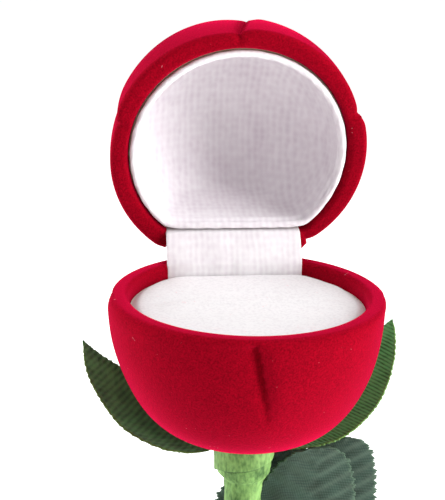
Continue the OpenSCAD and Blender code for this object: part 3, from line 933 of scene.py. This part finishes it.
# ---------------------------------------------------------------------------------------------
# Calyx leaves: two leaves stamped from woven polyester, cut with fine teeth and pressed hot into
# veins and pleats. They stand out from under the collar and curl up behind the cup's sides.
def add_leaf_cloth(name, dark, light, edge, pleats, pleat_strength):
    """Woven leaf cloth: pressed pleats, a fine weave, uneven dye and a paler frayed edge."""
    material, tree, shader = new_material(name)
    shader.inputs["Roughness"].default_value = 0.72
    shader.inputs["Specular IOR Level"].default_value = 0.25
    shader.inputs["Sheen Weight"].default_value = 0.2
    shader.inputs["Sheen Roughness"].default_value = 0.5
    shader.inputs["Sheen Tint"].default_value = (0.75, 1, 0.7, 1)
    grain = tree.nodes.new("ShaderNodeUVMap")
    grain.uv_map = "cloth"
    ribs = tree.nodes.new("ShaderNodeTexWave")
    ribs.bands_direction = "Y"
    ribs.inputs["Scale"].default_value = pleats
    ribs.inputs["Distortion"].default_value = 1.2
    ribs.inputs["Detail"].default_value = 2
    ribs.inputs["Detail Scale"].default_value = 0.6
    link(tree, grain, "UV", ribs, "Vector")
    threads = tree.nodes.new("ShaderNodeTexWave")
    threads.bands_direction = "X"
    threads.inputs["Scale"].default_value = 11
    threads.inputs["Distortion"].default_value = 0.8
    threads.inputs["Detail"].default_value = 3
    link(tree, grain, "UV", threads, "Vector")
    woven = tree.nodes.new("ShaderNodeMath")
    woven.operation = "MULTIPLY_ADD"
    woven.inputs[1].default_value = 0.45
    link(tree, threads, "Fac", woven, 0)
    link(tree, ribs, "Fac", woven, 2)
    dye = tree.nodes.new("ShaderNodeTexNoise")
    dye.inputs["Scale"].default_value = 3.2
    dye.inputs["Detail"].default_value = 5
    link(tree, grain, "UV", dye, "Vector")
    blend = tree.nodes.new("ShaderNodeMath")
    blend.operation = "MULTIPLY_ADD"
    blend.inputs[1].default_value = pleat_strength
    link(tree, woven, 0, blend, 0)
    link(tree, dye, "Fac", blend, 2)
    shade = tree.nodes.new("ShaderNodeValToRGB")
    shade.color_ramp.elements[0].position = 0.42
    shade.color_ramp.elements[0].color = (*dark, 1)
    shade.color_ramp.elements[1].position = 0.62 + pleat_strength
    shade.color_ramp.elements[1].color = (*light, 1)
    link(tree, blend, 0, shade, "Fac")
    margin = tree.nodes.new("ShaderNodeAttribute")
    margin.attribute_name = "margin"
    worn = tree.nodes.new("ShaderNodeMapRange")
    worn.inputs["From Min"].default_value = 0.93
    worn.inputs["From Max"].default_value = 1
    worn.inputs["To Max"].default_value = 0.7
    link(tree, margin, "Fac", worn, "Value")
    edged = tree.nodes.new("ShaderNodeMix")
    edged.data_type = "RGBA"
    link(tree, worn, "Result", edged, "Factor")
    link(tree, shade, "Color", edged, "A")
    edged.inputs["B"].default_value = (*edge, 1)
    link(tree, edged, "Result", shader, "Base Color")
    relief = tree.nodes.new("ShaderNodeBump")
    relief.inputs["Strength"].default_value = 0.6
    relief.inputs["Distance"].default_value = 0.09 * MM
    link(tree, woven, 0, relief, "Height")
    link(tree, relief, "Normal", shader, "Normal")
    return material


def leaf_half_width(s, width, blunt):
    """Half the leaf's width at a share of its length: blunter ends with a smaller power."""
    return width / 2 * math.sin(math.pi * s ** 0.8) ** blunt + 0.6 * MM * (1 - s)


def saw(value):
    """Teeth that point to the leaf's tip: a slow rise and a sharp fall."""
    v = value % 1
    return v / 0.75 if v < 0.75 else (1 - v) / 0.25


def leaf_sheet(name, matrix, size, bend_r, material, stands_for, seed,
               blunt, cup, twist, vein_step, vein_height, tooth, tooth_depth):
    """Woven leaf that starts along +X and curls up: toothed, veined, cupped and a little twisted."""
    length, width = size
    mesh = bmesh.new()
    bmesh.ops.create_grid(mesh, x_segments=150, y_segments=34, size=1)
    cloth_uv = mesh.loops.layers.uv.new("cloth")
    margin = mesh.verts.layers.float.new("margin")
    flat_place = {}
    for vert in mesh.verts:
        s = (vert.co.x + 1) / 2
        w = math.copysign(abs(vert.co.y) ** 0.85, vert.co.y)
        half = leaf_half_width(s, width, blunt)
        rough = noise.noise(Vector((s * 60, w, seed)))
        cut = tooth_depth * (saw(s * length / tooth + 0.37 * (w > 0)) - 0.6 + 0.4 * rough)
        cut *= min(half / (2 * MM), 1)
        side = w * half + math.copysign(cut, w) * eased(abs(w), 0.8, 1)
        angle = s * length / bend_r
        vein = math.cos(2 * math.pi * (s * length - abs(side) * 0.8) / vein_step)
        height = cup * (side / (width / 2)) ** 2 + vein_height * vein * eased(abs(side), 0, 1.2 * MM)
        height += 0.05 * MM * math.exp(-(side / (0.5 * MM)) ** 2)
        height += twist * side * s ** 2
        height += 0.35 * MM * noise.noise(Vector((s * 4, w * 1.6, seed + 5))) * eased(abs(w), 0.1, 1)
        r = bend_r + 0.3 * MM - height
        vert[margin] = abs(w)
        flat_place[vert] = (side * 100, s * length * 100)
        vert.co = (r * math.sin(angle), side, bend_r - r * math.cos(angle))
    for face in mesh.faces:
        for loop in face.loops:
            loop[cloth_uv].uv = flat_place[loop.vert]
    bmesh.ops.transform(mesh, verts=mesh.verts, matrix=matrix)
    leaf = finish_piece(name, mesh, material, "base", stands_for, fineness=0,
                        thickness=0.24 * MM, outward=False)
    return leaf


calyx_size = (28.5 * MM, 15 * MM)
calyx_bend_r = 24.9 * MM
calyx_turn = math.radians(25)
calyx_root = Vector((collar_r + 0.15 * MM, 0, rim_z - 26.5 * MM))
# The two calyx leaves are one cloth in two copies: the left leaf's is darker with painted shade, the
# right leaf's brighter with painted light, and their pleats differ.
calyx_shaded_copy = add_leaf_cloth("calyx_leaf_painted_shade", (0.018, 0.080, 0.020), (0.095, 0.30, 0.09),
                            (0.13, 0.17, 0.03), 3.2, 0.25)
calyx_lit_copy = add_leaf_cloth("calyx_leaf_painted_light", (0.012, 0.11, 0.02), (0.13, 0.54, 0.16),
                             (0.15, 0.21, 0.04), 5.4, 0.55)
for side, turn, size, cloth, seed in (
        ("left", math.pi - calyx_turn, calyx_size, calyx_shaded_copy, 1),
        ("right", calyx_turn, (calyx_size[0] + 2.6 * MM, calyx_size[1]), calyx_lit_copy, 2)):
    matrix = Matrix.Rotation(turn, 4, "Z") @ Matrix.Translation(calyx_root)
    name = "calyx_leaf_" + side
    leaf = leaf_sheet(name + "_cloth", matrix, size, calyx_bend_r, cloth, [name],
                      seed, blunt=0.85, cup=1.0 * MM, twist=0.05, vein_step=1.5 * MM,
                      vein_height=0.06 * MM, tooth=0.85 * MM, tooth_depth=0.5 * MM)

# ---------------------------------------------------------------------------------------------
# Spray: three larger leaves of the same kind, with pinked edges, on a forked plastic stalk. They
# stand up behind and beside the stem, with their faces to the front.
spray_size = (36.5 * MM, 17 * MM)
spray_bend_r = 70 * MM
spray_cloth = add_leaf_cloth("spray_leaf_cloth", (0.004, 0.012, 0.008), (0.030, 0.066, 0.048),
                             (0.05, 0.10, 0.06), 9, 0.28)
# Each leaf: its root in millimetres from the rim's centre, its lean in degrees and its seed
spray = (("left", (4, 13, -62.5), 5, 3),
         ("middle", (9.7, 5.7, -60), 3, 4),
         ("right", (13.5, 9, -60), 4.5, 5))
for side, (x, y, z), lean, seed in spray:
    stand_up = Matrix.Rotation(math.pi / 2, 4, "Z") @ Matrix.Rotation(-math.pi / 2, 4, "Y")
    matrix = (Matrix.Translation((x * MM, y * MM, rim_z + z * MM))
              @ Matrix.Rotation(math.radians(lean), 4, "Y") @ stand_up)
    name = "spray_leaf_" + side
    leaf = leaf_sheet(name + "_cloth", matrix, spray_size, spray_bend_r, spray_cloth, [name],
                      seed, blunt=0.42, cup=-0.9 * MM, twist=0.03,
                      vein_step=4.2 * MM, vein_height=0.1 * MM, tooth=1.7 * MM, tooth_depth=1.15 * MM)
